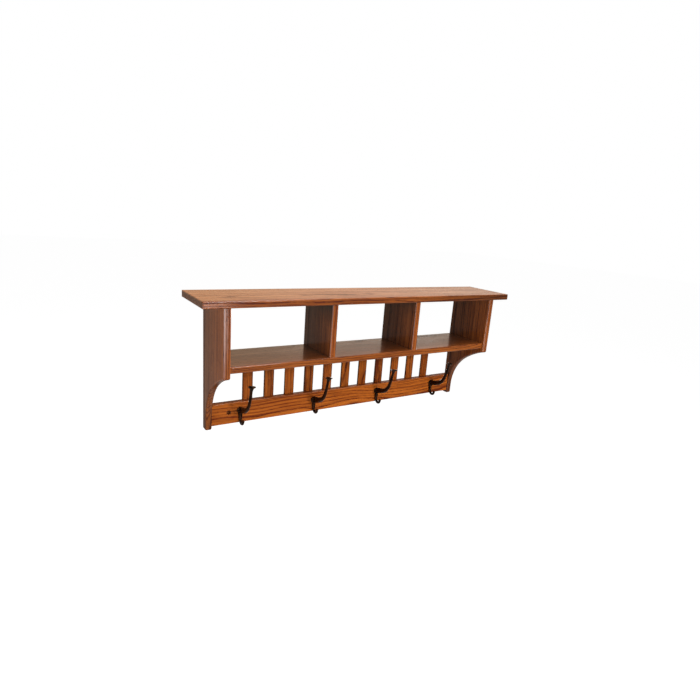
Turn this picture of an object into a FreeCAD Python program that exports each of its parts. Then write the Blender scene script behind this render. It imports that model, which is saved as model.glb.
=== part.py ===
import FreeCAD, Part
import math
import os

# Oak wall shelf: three open cubbies over a row of slats and a rail with four coat hooks.
# X runs along the wall, Y points into the wall and Z is up, in millimetres.
# The origin lies on the wall plane, midway between the two wall screw holes.

vec = FreeCAD.Vector

# Boards and panels
top_thickness = 19.05
side_thickness = 19.05
shelf_thickness = 19.05
divider_thickness = 19.05
rail_thickness = 19.05
slat_thickness = 5.0

# Widths along the wall
inner_width = 914.4
top_overhang = 57.15
divider_offset = 150.5

# Depths out from the wall, and how far the front edges step back from each other
side_depth = 175.0
leg_depth = 24.0
top_past_side = 9.0
shelf_behind_side = 9.0
divider_behind_shelf = 1.5

# Heights, from the top board down
cubby_height = 156.0
slat_window_height = 138.0
rail_height = 65.0
leg_below_rail = 9.3
wall_hole_below_rail_top = 29.0

# Bracket curve of the sides
side_front_below_shelf = 12.0
bracket_radius = 152.4
bracket_start_above_leg_end = 33.0
bracket_turn_deg = 54.0
side_corner_radius = 6.0

# Rounded edges
top_edge_round = 3.0
side_edge_round = 5.0
shelf_edge_round = 3.0
divider_edge_round = 3.0
rail_edge_round = 2.0
slat_edge_round = 1.0

# Stopped housings, which hide behind the front edges
housing_depth = 6.0
side_housing_stop = 12.0
shelf_housing_stop = 10.0
divider_housing_stop = 10.0

# Slats, let into notches from behind
slat_count = 11
slat_from_side = 113.7
slat_width = 32.0
slat_lap_shelf = 10.0
slat_lap_rail = 25.0

# Slat brads
brad_radius = 0.6
brad_length = 14.0
brad_head_radius = 1.0
brad_head_thickness = 0.8

# Rail dowels
dowel_radius = 4.0
dowel_spacing = 32.0
dowel_in_side = 12.0
dowel_in_rail = 18.0
dowel_end_bevel = 1.0

# Wall screw holes
wall_hole_from_side = 50.8
wall_hole_radius = 2.5
counterbore_radius = 6.35
counterbore_depth = 6.5

# Cast coat hooks
hook_count = 4
hook_from_side = 85.95
hook_above_wall_hole = 3.5
pad_radius = 10.5
plate_thickness = 5.0
plate_edge_round = 1.2
strap_top_width = 14.5
strap_end_width = 9.5
lower_bend_radius = 10.4
lower_bend_below_pad = 28.6
lower_prong_radius = 4.2
lower_prong_wall_gap = 0.3
lower_prong_turn_deg = 182.0
rib_start_radius = 1.2
rib_start_below_pad = 8.0
ball_radius = 4.8
arm_reach = 88.0
arm_rise = 98.0
arm_root_half_height = 9.6
arm_root_half_width = 4.5
arm_neck_radius = 4.0
flare_end_radius = 7.6
cap_radius = 11.0
cap_thickness = 2.4
cap_dome = 0.7
cap_tilt_deg = 2.0

# Hook screws
hook_screw_spacing = 14.4
hook_screw_radius = 1.4
hook_screw_length = 16.0
hook_screw_head_radius = 2.5
hook_screw_head_depth = 1.6
hook_screw_dome = 0.5
recess_length = 2.8
recess_width = 0.7
recess_depth = 1.0

# Shares of the arm's reach and rise that its guide points follow
arm_path_shares = [(0.03, 0.02), (0.55, 0.135), (0.88, 0.15), (0.865, 0.72), (1.0, 1.0)]
neck_share = 0.88
arm_step_share = 0.01
arm_taper_power = 1.0
arm_section_count = 8
flare_section_count = 5

# Overrun of cuts past a face, and the width within which an edge counts as lying on a plane
overrun = 1.0
near = 0.01

# Levels, measured from the wall screw holes
rail_top = wall_hole_below_rail_top
rail_bottom = rail_top - rail_height
leg_end = rail_bottom - leg_below_rail
shelf_underside = rail_top + slat_window_height
shelf_top = shelf_underside + shelf_thickness
top_underside = shelf_top + cubby_height
top_surface = top_underside + top_thickness
side_front_end = shelf_underside - side_front_below_shelf
rail_middle = (rail_top + rail_bottom) / 2

# Depths that follow from the sides
top_depth = side_depth + top_past_side
shelf_depth = side_depth - shelf_behind_side
divider_depth = shelf_depth - divider_behind_shelf

# Faces along the wall
inner_face = inner_width / 2
outer_face = inner_face + side_thickness
top_end = outer_face + top_overhang

# Places along the rail, each row centred between the sides
wall_hole_x = inner_face - wall_hole_from_side
slat_pitch = (inner_width - 2 * slat_from_side) / (slat_count - 1)
hook_pitch = (inner_width - 2 * hook_from_side) / (hook_count - 1)

# Lines that the hooks follow
rail_face = -rail_thickness
pad_level = hook_above_wall_hole


def block(x_low, x_high, y_low, y_high, z_low, z_high):
    return Part.makeBox(x_high - x_low, y_high - y_low, z_high - z_low, vec(x_low, y_low, z_low))


def rod(start, direction, radius, length):
    return Part.makeCylinder(radius, length, start, direction)


def joined(pieces):
    result = pieces[0]
    for piece in pieces[1:]:
        result = result.fuse(piece)
    return result.removeSplitter()


def less(solid, cutters):
    for cutter in cutters:
        solid = solid.cut(cutter)
    return solid


def rounded(solid, radius, on_edge):
    edges = [edge for edge in solid.Edges if on_edge(edge.BoundBox)]
    return solid.makeFillet(radius, edges)


def same(a, b):
    return abs(a - b) < near


def at_y(box, y):
    return same(box.YMin, y) and same(box.YMax, y)


def at_x(box, x):
    return same(box.XMin, x) and same(box.XMax, x)


def along_x(box):
    return same(box.YMin, box.YMax) and same(box.ZMin, box.ZMax)


def row_places(count, pitch):
    return [(index - (count - 1) / 2) * pitch for index in range(count)]


def side_spans():
    return [(-outer_face, -inner_face), (inner_face, outer_face)]


def divider_spans():
    half = divider_thickness / 2
    return [(centre - half, centre + half) for centre in (-divider_offset, divider_offset)]


# Top board, housed from below over the sides and dividers
def top_board():
    board = block(-top_end, top_end, -top_depth, 0, top_underside, top_surface)

    def upright_corner(box):
        return same(box.XMin, box.XMax) and at_y(box, -top_depth)

    def front_or_end(box):
        level = same(box.ZMin, box.ZMax)
        return level and not at_y(box, 0)

    board = rounded(board, top_edge_round, upright_corner)
    board = rounded(board, top_edge_round, front_or_end)
    roof = top_underside + housing_depth
    side_front = side_housing_stop - side_depth
    divider_front = divider_housing_stop - divider_depth
    housings = []
    for low, high in side_spans():
        housings.append(block(low, high, side_front, overrun, top_underside - overrun, roof))
    for low, high in divider_spans():
        housings.append(block(low, high, divider_front, overrun, top_underside - overrun, roof))
    return less(board, housings)


def arc_edge(centre, start, end):
    outward = (start - centre) + (end - centre)
    middle = centre + outward.normalize() * start.distanceToPoint(centre)
    return Part.Arc(start, middle, end).toShape()


# Outline of a side: straight above, then two tangent arcs down to a narrow leg
def side_outline(x):
    turn = math.radians(bracket_turn_deg)
    arc_foot = vec(x, -leg_depth, leg_end + bracket_start_above_leg_end)
    lower_centre = arc_foot - vec(0, bracket_radius, 0)
    outward = vec(0, math.cos(turn), math.sin(turn))
    meeting = lower_centre + outward * bracket_radius
    front_end = vec(x, -side_depth, side_front_end)
    chord = front_end - meeting
    upper_radius = chord.Length ** 2 / (-2 * outward.dot(chord))
    upper_centre = meeting - outward * upper_radius
    top_back = vec(x, 0, top_underside)
    top_front = vec(x, -side_depth, top_underside)
    leg_front = vec(x, -leg_depth, leg_end)
    leg_back = vec(x, 0, leg_end)
    edges = [
        Part.LineSegment(top_back, top_front).toShape(),
        Part.LineSegment(top_front, front_end).toShape(),
        arc_edge(upper_centre, front_end, meeting),
        arc_edge(lower_centre, meeting, arc_foot),
        Part.LineSegment(arc_foot, leg_front).toShape(),
        Part.LineSegment(leg_front, leg_back).toShape(),
        Part.LineSegment(leg_back, top_back).toShape(),
    ]
    return Part.Face(Part.Wire(edges))


# Side panel with its bracket, a tongue for the top board and a housing for the shelf
def side_panel(hand):
    low, high = sorted((hand * inner_face, hand * outer_face))
    panel = side_outline(low).extrude(vec(high - low, 0, 0))

    def bracket_corner(box):
        front_corner = same(box.YMin, -side_depth) and same(box.ZMin, side_front_end)
        leg_corner = same(box.YMin, -leg_depth) and same(box.ZMin, leg_end)
        return along_x(box) and (front_corner or leg_corner)

    def front_arris(box):
        flat = at_x(box, low) or at_x(box, high)
        on_back = at_y(box, 0)
        on_top = same(box.ZMin, top_underside)
        return flat and not on_back and not on_top

    panel = rounded(panel, side_corner_radius, bracket_corner)
    panel = rounded(panel, side_edge_round, front_arris)
    tongue_front = side_housing_stop - side_depth
    tongue = block(low, high, tongue_front, 0, top_underside, top_underside + housing_depth)
    panel = joined([panel, tongue])
    floor = hand * (inner_face + housing_depth)
    mouth = hand * (inner_face - overrun)
    near_x, far_x = sorted((floor, mouth))
    shelf_front = shelf_housing_stop - shelf_depth
    housing = block(near_x, far_x, shelf_front, overrun, shelf_underside, shelf_top)
    return less(panel, [housing] + [dowel_bore(hand, z) for z in dowel_levels()])


# Cubby shelf with tongues at its ends, divider housings above and slat notches behind
def cubby_shelf():
    board = block(-inner_face, inner_face, -shelf_depth, 0, shelf_underside, shelf_top)

    def front_arris(box):
        return along_x(box) and at_y(box, -shelf_depth)

    board = rounded(board, shelf_edge_round, front_arris)
    tongue_front = shelf_housing_stop - shelf_depth
    tongue_end = inner_face + housing_depth
    tongue = block(-tongue_end, tongue_end, tongue_front, 0, shelf_underside, shelf_top)
    board = joined([board, tongue])
    floor = shelf_top - housing_depth
    divider_front = divider_housing_stop - divider_depth
    cuts = []
    for low, high in divider_spans():
        cuts.append(block(low, high, divider_front, overrun, floor, shelf_top + overrun))
    for x in row_places(slat_count, slat_pitch):
        cuts.append(slat_notch(x, shelf_underside - overrun, shelf_underside + slat_lap_shelf))
    cuts += [brad_hole(x, z) for x, z in brad_places() if z > shelf_underside]
    return less(board, cuts)


# Divider between two cubbies, its ends housed in the shelf and the top board
def divider(centre):
    half = divider_thickness / 2
    low, high = centre - half, centre + half
    board = block(low, high, -divider_depth, 0, shelf_top, top_underside)

    def front_arris(box):
        return same(box.XMin, box.XMax) and at_y(box, -divider_depth)

    board = rounded(board, divider_edge_round, front_arris)
    tongue_front = divider_housing_stop - divider_depth
    tongue_low = shelf_top - housing_depth
    tongue_high = top_underside + housing_depth
    tongue = block(low, high, tongue_front, 0, tongue_low, tongue_high)
    return joined([board, tongue])


# Dowels that tie the rail's ends to the sides
def dowel_levels():
    return [rail_middle - dowel_spacing / 2, rail_middle + dowel_spacing / 2]


def dowel_bore(hand, z):
    start = vec(hand * (inner_face - dowel_in_rail), -rail_thickness / 2, z)
    return rod(start, vec(hand, 0, 0), dowel_radius, dowel_in_rail + dowel_in_side)


def rail_dowel(hand, z):
    dowel = dowel_bore(hand, z)
    rims = [edge for edge in dowel.Edges if same(edge.BoundBox.XMin, edge.BoundBox.XMax)]
    return dowel.makeChamfer(dowel_end_bevel, rims)


# Slats and the notches and brads that hold them
def slat_notch(x, z_low, z_high):
    half = slat_width / 2
    return block(x - half, x + half, -slat_thickness, overrun, z_low, z_high)


def slat(x):
    half = slat_width / 2
    z_low = rail_top - slat_lap_rail
    z_high = shelf_underside + slat_lap_shelf
    strip = block(x - half, x + half, -slat_thickness, 0, rail_top, shelf_underside)

    def front_arris(box):
        return same(box.XMin, box.XMax) and at_y(box, -slat_thickness)

    strip = rounded(strip, slat_edge_round, front_arris)
    upper_lap = block(x - half, x + half, -slat_thickness, 0, shelf_underside, z_high)
    lower_lap = block(x - half, x + half, -slat_thickness, 0, z_low, rail_top)
    strip = joined([strip, upper_lap, lower_lap])
    return less(strip, [brad_hole(x, z) for z in brad_levels()])


def brad_levels():
    return [rail_top - slat_lap_rail / 2, shelf_underside + slat_lap_shelf / 2]


def brad_places():
    return [(x, z) for x in row_places(slat_count, slat_pitch) for z in brad_levels()]


def brad_hole(x, z):
    head = rod(vec(x, 0, z), vec(0, -1, 0), brad_head_radius, brad_head_thickness)
    shank = rod(vec(x, 0, z), vec(0, -1, 0), brad_radius, brad_length)
    return head.fuse(shank)


def slat_brad(x, z):
    return brad_hole(x, z).removeSplitter()


# Hook rail, with slat notches and all its holes
def hook_rail():
    board = block(-inner_face, inner_face, -rail_thickness, 0, rail_bottom, rail_top)

    def front_arris(box):
        return along_x(box) and at_y(box, -rail_thickness)

    board = rounded(board, rail_edge_round, front_arris)
    cuts = []
    for x in row_places(slat_count, slat_pitch):
        cuts.append(slat_notch(x, rail_top - slat_lap_rail, rail_top + overrun))
    cuts += [brad_hole(x, z) for x, z in brad_places() if z < rail_top]
    for hand in (-1, 1):
        cuts += [dowel_bore(hand, z) for z in dowel_levels()]
        hole_x = hand * wall_hole_x
        through = rail_thickness + 2 * overrun
        cuts.append(rod(vec(hole_x, overrun, 0), vec(0, -1, 0), wall_hole_radius, through))
        floor_y = rail_face + counterbore_depth
        deep = counterbore_depth + overrun
        cuts.append(rod(vec(hole_x, floor_y, 0), vec(0, -1, 0), counterbore_radius, deep))
    cuts += [hook_screw_shank(x) for x in hook_screw_places()]
    return less(board, cuts)


# Flat-head screws that hold a hook, one each side of its arm
def hook_screw_places():
    half = hook_screw_spacing / 2
    return [x + side * half for x in row_places(hook_count, hook_pitch) for side in (-1, 1)]


def hook_screw_shank(x):
    start = vec(x, rail_face - plate_thickness, pad_level)
    return rod(start, vec(0, 1, 0), hook_screw_radius, hook_screw_length)


def hook_screw_head(x):
    start = vec(x, rail_face - plate_thickness, pad_level)
    inward = vec(0, 1, 0)
    return Part.makeCone(hook_screw_head_radius, hook_screw_radius, hook_screw_head_depth, start, inward)


def hook_screw(x):
    face_y = rail_face - plate_thickness
    rise = hook_screw_dome
    ball = (hook_screw_head_radius ** 2 + rise ** 2) / (2 * rise)
    globe = Part.makeSphere(ball, vec(x, face_y + ball - rise, pad_level))
    stub = rod(vec(x, face_y, pad_level), vec(0, -1, 0), hook_screw_head_radius, rise)
    crown = globe.common(stub)
    screw = joined([hook_screw_head(x), hook_screw_shank(x), crown])
    long_half = recess_length / 2
    thin_half = recess_width / 2
    y_low = face_y - rise - overrun
    y_high = face_y - rise + recess_depth
    level = block(x - long_half, x + long_half, y_low, y_high, pad_level - thin_half, pad_level + thin_half)
    upright = block(x - thin_half, x + thin_half, y_low, y_high, pad_level - long_half, pad_level + long_half)
    return less(screw, [level, upright])


# A point in a hook's own plane: forward is out from the rail's face, up is from the pad's centre
def hook_point(forward, up):
    return vec(0, rail_face - forward, pad_level + up)


def arm_point(share):
    points = [vec(0, a * arm_reach, b * arm_rise) for a, b in arm_path_shares]
    while len(points) > 1:
        points = [p * (1 - share) + q * share for p, q in zip(points, points[1:])]
    return hook_point(points[0].y, points[0].z)


def arm_direction(share):
    ahead = min(share + arm_step_share, 1)
    behind = max(share - arm_step_share, 0)
    return (arm_point(ahead) - arm_point(behind)).normalize()


def oval(centre, facing, half_height, half_width):
    across = facing.cross(vec(1, 0, 0)).normalize()
    if half_height - half_width < near:
        return Part.Wire(Part.Circle(centre, facing, half_height).toShape())
    sideways = vec(half_width, 0, 0)
    curve = Part.Ellipse(centre + across * half_height, centre + sideways, centre)
    return Part.Wire(curve.toShape())


# Upper arm: an oval root that tapers to a round neck, then flares under the cap
def upper_arm():
    sections = []
    for index in range(arm_section_count):
        share = neck_share * index / (arm_section_count - 1)
        taper = (1 - share / neck_share) ** arm_taper_power
        half_height = arm_neck_radius + (arm_root_half_height - arm_neck_radius) * taper
        half_width = arm_neck_radius + (arm_root_half_width - arm_neck_radius) * taper
        sections.append(oval(arm_point(share), arm_direction(share), half_height, half_width))
    return Part.makeLoft(sections, True)


def cap_axis():
    tilt = math.radians(cap_tilt_deg)
    return vec(0, math.sin(tilt), math.cos(tilt))


def cap_flare():
    sections = []
    for index in range(flare_section_count):
        grown = index / (flare_section_count - 1)
        share = neck_share + (1 - neck_share) * grown
        facing = arm_direction(share) * (1 - grown) + cap_axis() * grown
        radius = arm_neck_radius + (flare_end_radius - arm_neck_radius) * grown ** 2
        sections.append(oval(arm_point(share), facing.normalize(), radius, radius))
    return Part.makeLoft(sections, True)


def cap_disc():
    rim = cap_thickness / 2
    flat = cap_radius - rim
    crown = cap_thickness + cap_dome
    dome_radius = (flat ** 2 + cap_dome ** 2) / (2 * cap_dome)
    half_turn = math.asin(flat / dome_radius) / 2
    bow_x = dome_radius * math.sin(half_turn)
    bow_z = crown - dome_radius * (1 - math.cos(half_turn))
    rim_end = vec(flat, 0, cap_thickness)
    profile = [
        Part.LineSegment(vec(0, 0, 0), vec(flat, 0, 0)).toShape(),
        Part.Arc(vec(flat, 0, 0), vec(cap_radius, 0, rim), rim_end).toShape(),
        Part.Arc(rim_end, vec(bow_x, 0, bow_z), vec(0, 0, crown)).toShape(),
        Part.LineSegment(vec(0, 0, crown), vec(0, 0, 0)).toShape(),
    ]
    disc = Part.Face(Part.Wire(profile)).revolve(vec(0, 0, 0), vec(0, 0, 1), 360)
    disc.rotate(vec(0, 0, 0), vec(1, 0, 0), -cap_tilt_deg)
    disc.translate(arm_point(1))
    return disc


# Lower prong: a round bar that curls forward and up to a ball end
def lower_prong():
    forward = lower_prong_wall_gap + lower_prong_radius
    start = hook_point(forward, -lower_bend_below_pad)
    centre = hook_point(forward + lower_bend_radius, -lower_bend_below_pad)
    section = Part.Face(Part.Wire(Part.Circle(start, vec(0, 0, 1), lower_prong_radius).toShape()))
    bar = section.revolve(centre, vec(-1, 0, 0), lower_prong_turn_deg)
    past_front = math.radians(lower_prong_turn_deg - 180)
    tip_forward = forward + lower_bend_radius * (1 + math.cos(past_front))
    tip_up = lower_bend_radius * math.sin(past_front) - lower_bend_below_pad
    ball = Part.makeSphere(ball_radius, hook_point(tip_forward, tip_up))
    rib_length = lower_bend_below_pad - rib_start_below_pad
    rib_start = hook_point(forward, -rib_start_below_pad)
    rib = Part.makeCone(rib_start_radius, lower_prong_radius, rib_length, rib_start, vec(0, 0, -1))
    return [bar, ball, rib]


# Base plate: a round pad and a strap that narrows down to the lower prong
def base_plate():
    pad = rod(hook_point(0, 0), vec(0, -1, 0), pad_radius, plate_thickness)
    top_half = strap_top_width / 2
    end_half = strap_end_width / 2
    end_level = pad_level - lower_bend_below_pad
    corners = [
        vec(-top_half, rail_face, pad_level),
        vec(top_half, rail_face, pad_level),
        vec(end_half, rail_face, end_level),
        vec(-end_half, rail_face, end_level),
    ]
    strap = Part.Face(Part.makePolygon(corners + corners[:1])).extrude(vec(0, -plate_thickness, 0))
    toe = rod(hook_point(0, -lower_bend_below_pad), vec(0, -1, 0), end_half, plate_thickness)
    plate = joined([pad, strap, toe])

    def front_rim(box):
        return at_y(box, rail_face - plate_thickness)

    return rounded(plate, plate_edge_round, front_rim)


def coat_hook():
    body = joined([base_plate(), upper_arm(), cap_flare(), cap_disc()] + lower_prong())
    screws = []
    for side in (-1, 1):
        x = side * hook_screw_spacing / 2
        screws += [hook_screw_shank(x), hook_screw_head(x)]
    return less(body, screws)


def moved(shape, x):
    copy = shape.copy()
    copy.translate(vec(x, 0, 0))
    return copy


def group(solids):
    return Part.makeCompound(solids)


def all_nodes():
    nodes = {
        "top_board": top_board(),
        "side_left": side_panel(-1),
        "side_right": side_panel(1),
        "cubby_shelf": cubby_shelf(),
        "divider_left": divider(-divider_offset),
        "divider_right": divider(divider_offset),
        "hook_rail": hook_rail(),
    }
    for number, x in enumerate(row_places(slat_count, slat_pitch), 1):
        nodes["slat_%02d" % number] = slat(x)
    hook_shape = coat_hook()
    for number, x in enumerate(row_places(hook_count, hook_pitch), 1):
        nodes["hook_%d" % number] = moved(hook_shape, x)
    nodes["hook_screws"] = group([hook_screw(x) for x in hook_screw_places()])
    nodes["rail_dowels"] = group([rail_dowel(hand, z) for hand in (-1, 1) for z in dowel_levels()])
    nodes["slat_brads"] = group([slat_brad(x, z) for x, z in brad_places()])
    return nodes


os.makedirs("parts", exist_ok=True)
for name, shape in all_nodes().items():
    shape.exportStep("parts/" + name + ".step")
    bounds = shape.BoundBox
    print(name, shape.isValid(), len(shape.Solids), "%.0f mm3" % shape.Volume,
          "x %.1f %.1f" % (bounds.XMin, bounds.XMax),
          "y %.1f %.1f" % (bounds.YMin, bounds.YMax),
          "z %.1f %.1f" % (bounds.ZMin, bounds.ZMax))
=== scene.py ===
import math

import bmesh
import bpy
from mathutils import Matrix, Vector


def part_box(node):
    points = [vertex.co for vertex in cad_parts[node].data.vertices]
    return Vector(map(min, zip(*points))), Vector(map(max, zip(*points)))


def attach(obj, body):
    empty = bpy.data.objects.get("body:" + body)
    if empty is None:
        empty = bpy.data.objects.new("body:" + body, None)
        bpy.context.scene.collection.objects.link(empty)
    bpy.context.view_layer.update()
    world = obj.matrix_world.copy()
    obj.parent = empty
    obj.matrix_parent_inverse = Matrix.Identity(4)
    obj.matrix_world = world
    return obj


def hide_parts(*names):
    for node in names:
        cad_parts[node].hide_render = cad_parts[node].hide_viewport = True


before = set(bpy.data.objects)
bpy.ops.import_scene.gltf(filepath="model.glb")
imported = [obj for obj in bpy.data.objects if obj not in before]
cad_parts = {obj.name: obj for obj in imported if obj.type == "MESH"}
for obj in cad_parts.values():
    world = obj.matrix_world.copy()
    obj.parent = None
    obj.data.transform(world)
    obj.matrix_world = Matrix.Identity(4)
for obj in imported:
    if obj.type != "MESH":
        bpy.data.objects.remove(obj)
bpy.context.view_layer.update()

mm = 0.001
print("frame loaded:", len(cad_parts), "nodes")


# Small helpers

def same(a, b):
    # To a hundredth of a millimetre
    return abs(a - b) < 1e-5


def shareBetween(value, low, high):
    return min(1.0, max(0.0, (value - low) / (high - low)))


def linearColour(hexText):
    values = [int(hexText[i:i + 2], 16) / 255 for i in (1, 3, 5)]
    return tuple(v / 12.92 if v <= 0.04045 else ((v + 0.055) / 1.055) ** 2.4 for v in values) + (1.0,)


def setInputs(tree, node, links):
    # Each input takes a plain value, a socket, or a node, which stands for its first live output
    for name, value in links.items():
        if isinstance(value, bpy.types.Node):
            value = next(output for output in value.outputs if output.enabled)
        if isinstance(value, bpy.types.NodeSocket):
            tree.links.new(value, node.inputs[name])
        else:
            node.inputs[name].default_value = value


def addNode(tree, kind, settings=None, links=()):
    # Plain text as settings is the operation, and links without names fill the inputs in order
    made = tree.nodes.new(kind)
    if isinstance(settings, str):
        settings = {"operation": settings}
    for name, value in (settings or {}).items():
        setattr(made, name, value)
    setInputs(tree, made, links if isinstance(links, dict) else dict(enumerate(links)))
    return made


def emptyTree(owner):
    # Of a material or a world
    owner.use_nodes = True
    owner.node_tree.nodes.clear()
    return owner.node_tree


def newMaterial(name):
    made = bpy.data.materials.new(name)
    tree = emptyTree(made)
    shader = addNode(tree, "ShaderNodeBsdfPrincipled")
    addNode(tree, "ShaderNodeOutputMaterial", links={"Surface": shader})
    return made, tree, shader


def addObject(name, data):
    made = bpy.data.objects.new(name, data)
    bpy.context.scene.collection.objects.link(made)
    return made


def coat(mesh, finish):
    mesh.materials.clear()
    mesh.materials.append(finish)


def openMesh(*meshes):
    work = bmesh.new()
    for mesh in meshes:
        work.from_mesh(mesh)
    return work


def closeMesh(work, mesh):
    work.to_mesh(mesh)
    work.free()
    return mesh


def closedForm(work, name):
    # A new mesh with its faces turned outwards
    bmesh.ops.recalc_face_normals(work, faces=work.faces)
    return closeMesh(work, bpy.data.meshes.new(name))


def settle(piece, name=None):
    # Turns modifiers into a plain mesh and drops them
    bpy.context.view_layer.update()
    evaluated = piece.evaluated_get(bpy.context.evaluated_depsgraph_get())
    mesh = bpy.data.meshes.new_from_object(evaluated)
    piece.modifiers.clear()
    old = piece.data
    piece.data = mesh
    if old.users == 0:
        bpy.data.meshes.remove(old)
    if name:
        piece.name = name
        mesh.name = name
    return piece


def discard(*pieces):
    for piece in pieces:
        mesh = piece.data
        bpy.data.objects.remove(piece)
        if mesh.users == 0:
            bpy.data.meshes.remove(mesh)


# Finishes

oakLook = {
    "light": "#c4691f",       # late wood, stained orange-brown
    "dark": "#692507",        # early wood takes more stain
    "pore": "#3c1a0a",        # open pores filled with stain
    "endGrain": "#5a2c10",
    "rubbedAndHighlight": "#c3a8a2",      # pale arrises: stain rubbed thin, and a painted highlight
    "poreStain": 0.75, "endStain": 0.75,
    "ringMm": 5.0,
    "ringTones": ((0.0, 0.6), (0.06, 0.0), (0.17, 0.0), (0.3, 0.72), (0.65, 1.0), (1.0, 0.88)),
    "crowding": (0.37, 2.6),  # how often rings crowd and spread, and by how many rings
    "yearScale": 7.3, "yearSpread": 0.35,  # neighbouring years are unlike, and this far apart
    "wanderMm": 15.0,         # how far the rings stray
    # The next ones: length and width in mm, detail, roughness
    "wanderOver": (420.0, 160.0, 2.0, 0.5),
    "breaks": (38.0, 3.2, 2.0, 0.6),  # the pieces that the dark lines break into
    "pores": (14.0, 0.8, 1.0, 0.35),  # real pores are 0.3 mm wide, drawn wider so that they show
    "patterns": {             # and how much each lightens and darkens the wood
        "streak": (260.0, 2.4, 3.0, 0.6, 1.3),
        "flame": (190.0, 8.0, 3.0, 0.6, 1.5),       # broader tongues of dark and light
        "fuzz": (30.0, 0.9, 2.0, 0.6, 0.4),         # fibres, drawn coarser than real so that they show
        "patch": (320.0, 60.0, 2.0, 0.5, 0.7),
    },
    "middleRing": 0.74, "middleTone": 0.58,  # a ring of the first tone leaves the wood at the second
    "breakFrom": (0.38, 0.6), "breakTo": (0.1, 1.2),
    "poreLimit": 0.68, "poreEdge": 0.06,
    "earlyPores": -0.13,      # the limit falls this far in early wood, which has more pores
    "roughness": 0.42, "patchRoughness": 0.12, "poreRoughness": 0.2,
    "reliefMm": 0.25, "ringRelief": 0.25, "poreRelief": -0.8, "fuzzRelief": 0.2,
    "woodBump": 0.35, "varnishBump": 0.12, "specular": 0.1,
    "varnishShare": 0.6,
    "thinVarnishShare": 0.12,  # rail and slats shine less
    "varnishOver": (0.5, 1.4), "lightestWood": 1.1,  # thickness over the darkest and the lightest wood
    "varnishRoughness": 0.14,
}


def setRamp(ramp, stops):
    ramp.interpolation = "EASE"
    while len(ramp.elements) < len(stops):
        ramp.elements.new(1.0)
    for element, (place, value) in zip(ramp.elements, stops):
        element.position = place
        element.color = (value, value, value, 1.0)


def growthRings(tree, look, place, wander):
    # How light each ring is across its width, and how each year differs, round a wandering heart line
    centred = addNode(tree, "ShaderNodeVectorMath", "SUBTRACT", (wander, (0.5, 0.5, 0.5)))
    strayed = addNode(tree, "ShaderNodeVectorMath", "SCALE", {0: centred, "Scale": 2 * look["wanderMm"] * mm})
    moved = addNode(tree, "ShaderNodeVectorMath", "ADD", (place, strayed))
    across = addNode(tree, "ShaderNodeVectorMath", "MULTIPLY", (moved, (0, 1, 1)))
    radius = addNode(tree, "ShaderNodeVectorMath", "LENGTH", (across,))
    rings = addNode(tree, "ShaderNodeMath", "MULTIPLY", (radius, 1 / (look["ringMm"] * mm)))
    often, shift = look["crowding"]
    crowded = addNode(tree, "ShaderNodeTexNoise", {"noise_dimensions": "1D"}, {
        "W": addNode(tree, "ShaderNodeMath", "MULTIPLY", (rings, often)), "Scale": 1.0, "Detail": 1.0})
    ringPlace = addNode(tree, "ShaderNodeMath", "MULTIPLY_ADD", (crowded, shift, rings))
    bands = addNode(tree, "ShaderNodeValToRGB", links={
        "Fac": addNode(tree, "ShaderNodeMath", "FRACT", (ringPlace,))})
    setRamp(bands.color_ramp, look["ringTones"])
    years = addNode(tree, "ShaderNodeTexNoise", {"noise_dimensions": "1D"}, {
        "W": addNode(tree, "ShaderNodeMath", "FLOOR", (ringPlace,)),
        "Scale": look["yearScale"], "Detail": 0.0})
    return bands, years


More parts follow.
